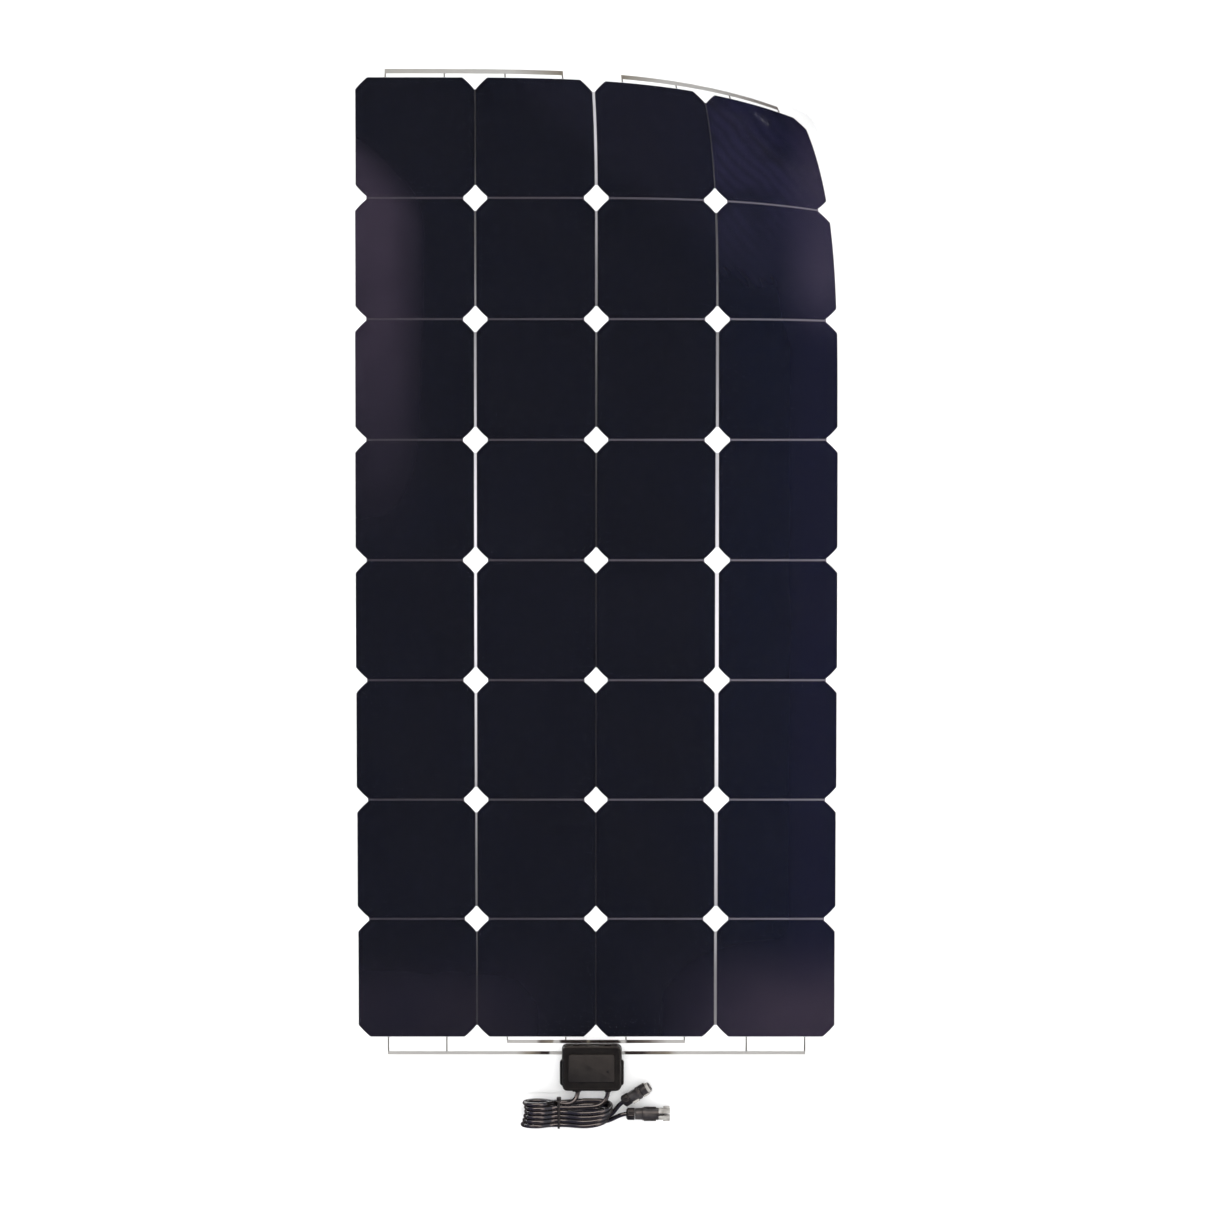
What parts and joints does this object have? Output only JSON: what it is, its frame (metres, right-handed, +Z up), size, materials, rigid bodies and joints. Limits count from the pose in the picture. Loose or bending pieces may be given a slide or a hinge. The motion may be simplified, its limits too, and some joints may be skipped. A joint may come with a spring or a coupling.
{
  "type": "flexible solar sheet",
  "caption": "Thin flexible photovoltaic sheet with a curled corner, a lidded junction box near the lower edge, and leads folded in a tied hank that end in push-in connectors.",
  "frame": {"origin": "centre of the flat sheet's outline, on its underside, which lies on the ground", "axes": "+Y along the sheet's length from the junction box towards the curled end, +X across the sheet towards the curled corner, +Z up out of the cell face"},
  "size_m": [0.546, 1.1314, 0.1769],
  "materials": {
    "back_sheet": "satin white film",
    "film": "clear, glossy, lightly textured",
    "cell": "near-black silicon under film",
    "ribbon": "tinned copper foil",
    "box_plastic": "moulded satin black",
    "gasket_rubber": "matte",
    "terminal_metal": "tin plated",
    "diode": "moulded epoxy",
    "lead_jacket": "glossy black jacket",
    "tie_plastic": "satin nylon",
    "connector_plastic": "moulded satin black"
  },
  "bodies": {
    "sheet": {"back_sheet": "back_sheet", "front_film": "film", "cell_r1c1": "cell", "cell_r1c2": "cell", "cell_r2c1": "cell", "cell_r2c2": "cell", "cell_r2c3": "cell", "cell_r3c1": "cell", "cell_r3c2": "cell", "cell_r3c3": "cell", "cell_r3c4": "cell", "cell_r4c1": "cell", "cell_r4c2": "cell", "cell_r4c3": "cell", "cell_r4c4": "cell", "cell_r5c1": "cell", "cell_r5c2": "cell", "cell_r5c3": "cell", "cell_r5c4": "cell", "cell_r6c1": "cell", "cell_r6c2": "cell", "cell_r6c3": "cell", "cell_r6c4": "cell", "cell_r7c1": "cell", "cell_r7c2": "cell", "cell_r7c3": "cell", "cell_r7c4": "cell", "cell_r8c1": "cell", "cell_r8c2": "cell", "cell_r8c3": "cell", "cell_r8c4": "cell", "ribbon_top_left": "ribbon", "ribbon_bottom_centre": "ribbon", "ribbon_bottom_left": "ribbon", "ribbon_bottom_right": "ribbon", "box_base": "box_plastic", "box_gasket": "gasket_rubber", "terminal_left": "terminal_metal", "terminal_right": "terminal_metal", "bypass_diode": "diode", "strain_relief_left": "gasket_rubber", "strain_relief_right": "gasket_rubber", "lead_left": "lead_jacket", "lead_right": "lead_jacket", "lead_hank": "lead_jacket", "cable_tie": "tie_plastic", "plug_body": "connector_plastic", "socket_body": "connector_plastic"},
    "curl_1": {"back_sheet_curl_1": "back_sheet"},
    "curl_2": {"back_sheet_curl_2": "back_sheet", "cell_r1c3": "cell", "cell_r2c4": "cell"},
    "curl_3": {"back_sheet_curl_3": "back_sheet", "cell_r1c4": "cell", "ribbon_top_right": "ribbon"},
    "curl_4": {"back_sheet_curl_4": "back_sheet"},
    "curl_5": {"back_sheet_curl_5": "back_sheet"},
    "lid": {"box_lid": "box_plastic"},
    "plug_nut_turner": {"plug_nut": "connector_plastic"},
    "socket_nut_turner": {"socket_nut": "connector_plastic"}
  },
  "joints": [
    {"name": "curl_1", "type": "hinge", "parent": "sheet", "child": "curl_1", "pos_m": [0.05538, 0.36536, 0.00259], "axis": [0.766, -0.6428, 0], "range_deg": [-15.48, 3], "stiffness_Nm_per_rad": 42, "deforming": ["front_film", "cell_r1c2", "cell_r2c3", "cell_r2c4", "cell_r3c4", "ribbon_top_left"]},
    {"name": "curl_2", "type": "hinge", "parent": "curl_1", "child": "curl_2", "pos_m": [0.10207, 0.40395, 0.01909], "axis": [0.766, -0.6428, 0], "range_deg": [-15.48, 3], "deforming": ["front_film", "cell_r1c2", "cell_r1c3", "cell_r2c3", "cell_r2c4", "ribbon_top_left"]},
    {"name": "curl_3", "type": "hinge", "parent": "curl_2", "child": "curl_3", "pos_m": [0.14454, 0.43752, 0.05089], "axis": [0.766, -0.6428, 0], "range_deg": [-15.48, 3], "deforming": ["front_film", "cell_r1c3", "cell_r1c4", "cell_r2c4", "ribbon_top_right"]},
    {"name": "curl_4", "type": "hinge", "parent": "curl_3", "child": "curl_4", "pos_m": [0.18031, 0.46311, 0.09569], "axis": [0.766, -0.6428, 0], "range_deg": [-15.48, 3], "deforming": ["front_film", "cell_r1c4", "ribbon_top_right"]},
    {"name": "curl_5", "type": "hinge", "parent": "curl_4", "child": "curl_5", "pos_m": [0.20741, 0.47835, 0.15023], "axis": [0.766, -0.6428, 0], "range_deg": [-15.48, 3], "deforming": ["front_film"]},
    {"name": "lid_lift", "type": "slide", "parent": "sheet", "child": "lid", "axis": [0, 0, 1], "range_m": [0, 0.03]},
    {"name": "plug_nut_turn", "type": "hinge", "parent": "sheet", "child": "plug_nut_turner", "pos_m": [0.028, -0.557, 0.0074], "axis": [0.8472, 0.5171, 0.1219], "range_deg": [-180, 180]},
    {"name": "socket_nut_turn", "type": "hinge", "parent": "sheet", "child": "socket_nut_turner", "pos_m": [0.0316, -0.5698, 0.0074], "axis": [1, 0, 0], "range_deg": [-180, 180]}
  ],
  "couplings": [
    {"joint": "curl_2", "follows": "curl_1", "ratio": 1},
    {"joint": "curl_3", "follows": "curl_1", "ratio": 1},
    {"joint": "curl_4", "follows": "curl_1", "ratio": 1},
    {"joint": "curl_5", "follows": "curl_1", "ratio": 1}
  ]
}
